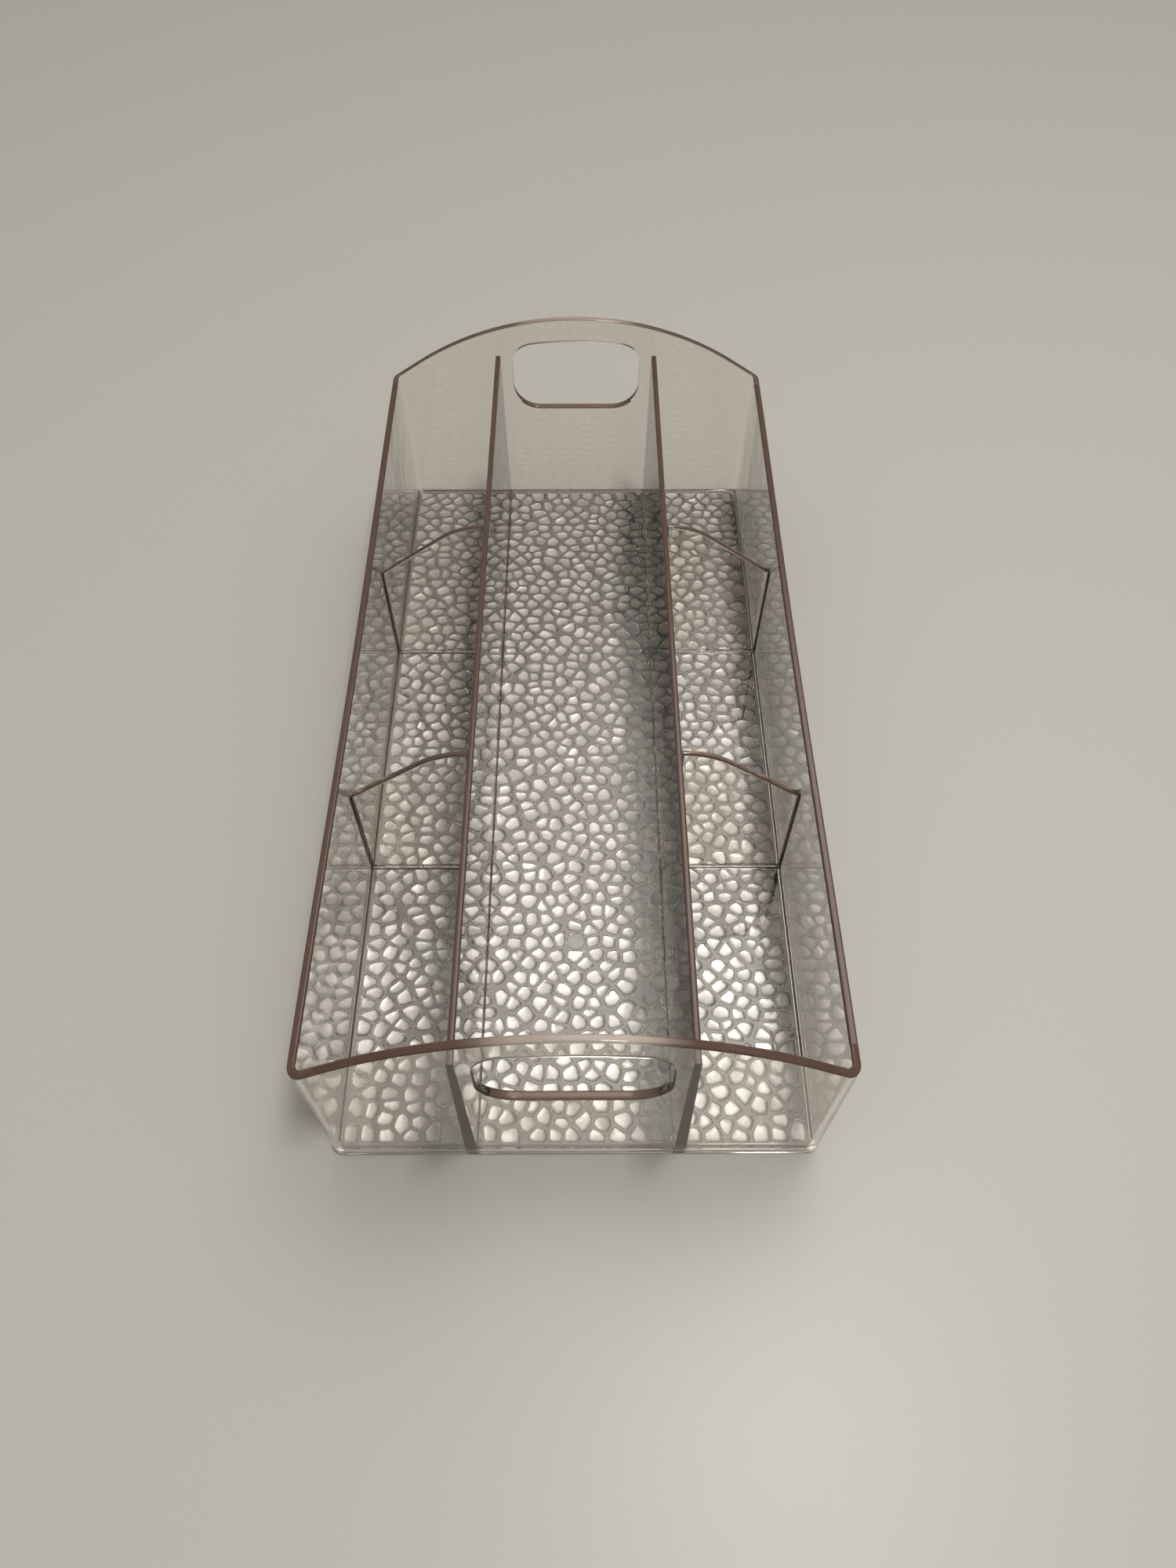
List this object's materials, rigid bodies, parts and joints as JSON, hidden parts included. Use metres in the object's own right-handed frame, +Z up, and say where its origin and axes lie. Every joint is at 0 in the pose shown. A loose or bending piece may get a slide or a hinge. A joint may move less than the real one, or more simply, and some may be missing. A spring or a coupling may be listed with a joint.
{
  "type": "desk organizer",
  "caption": "Clear rectangular organizer tub with arched end walls that have hand slots, long dividers and curved cross dividers, on a raised pebble-patterned floor.",
  "frame": {"origin": "on the table under the middle of the organizer, at the foot ring's underside", "axes": "+Z up, +Y along the organizer from the front end wall to the rear end wall, +X to the right"},
  "size_m": [0.178, 0.3592, 0.1042],
  "materials": {
    "wall_plastic": "clear polished styrene, faint mauve-brown tint that shows as dark edges",
    "divider_plastic": "clear polished styrene, faint mauve-brown tint that shows as dark edges",
    "floor_plastic": "clear styrene, smooth above and moulded with a river-pebble relief below"
  },
  "bodies": {
    "root": {"foot_ring": "floor_plastic", "floor_panel": "floor_plastic", "front_end_wall": "wall_plastic", "rear_end_wall": "wall_plastic", "left_side_wall": "wall_plastic", "right_side_wall": "wall_plastic", "left_long_divider": "divider_plastic", "right_long_divider": "divider_plastic", "left_front_cross_divider": "divider_plastic", "left_rear_cross_divider": "divider_plastic", "right_front_cross_divider": "divider_plastic", "right_rear_cross_divider": "divider_plastic"}
  },
  "joints": []
}
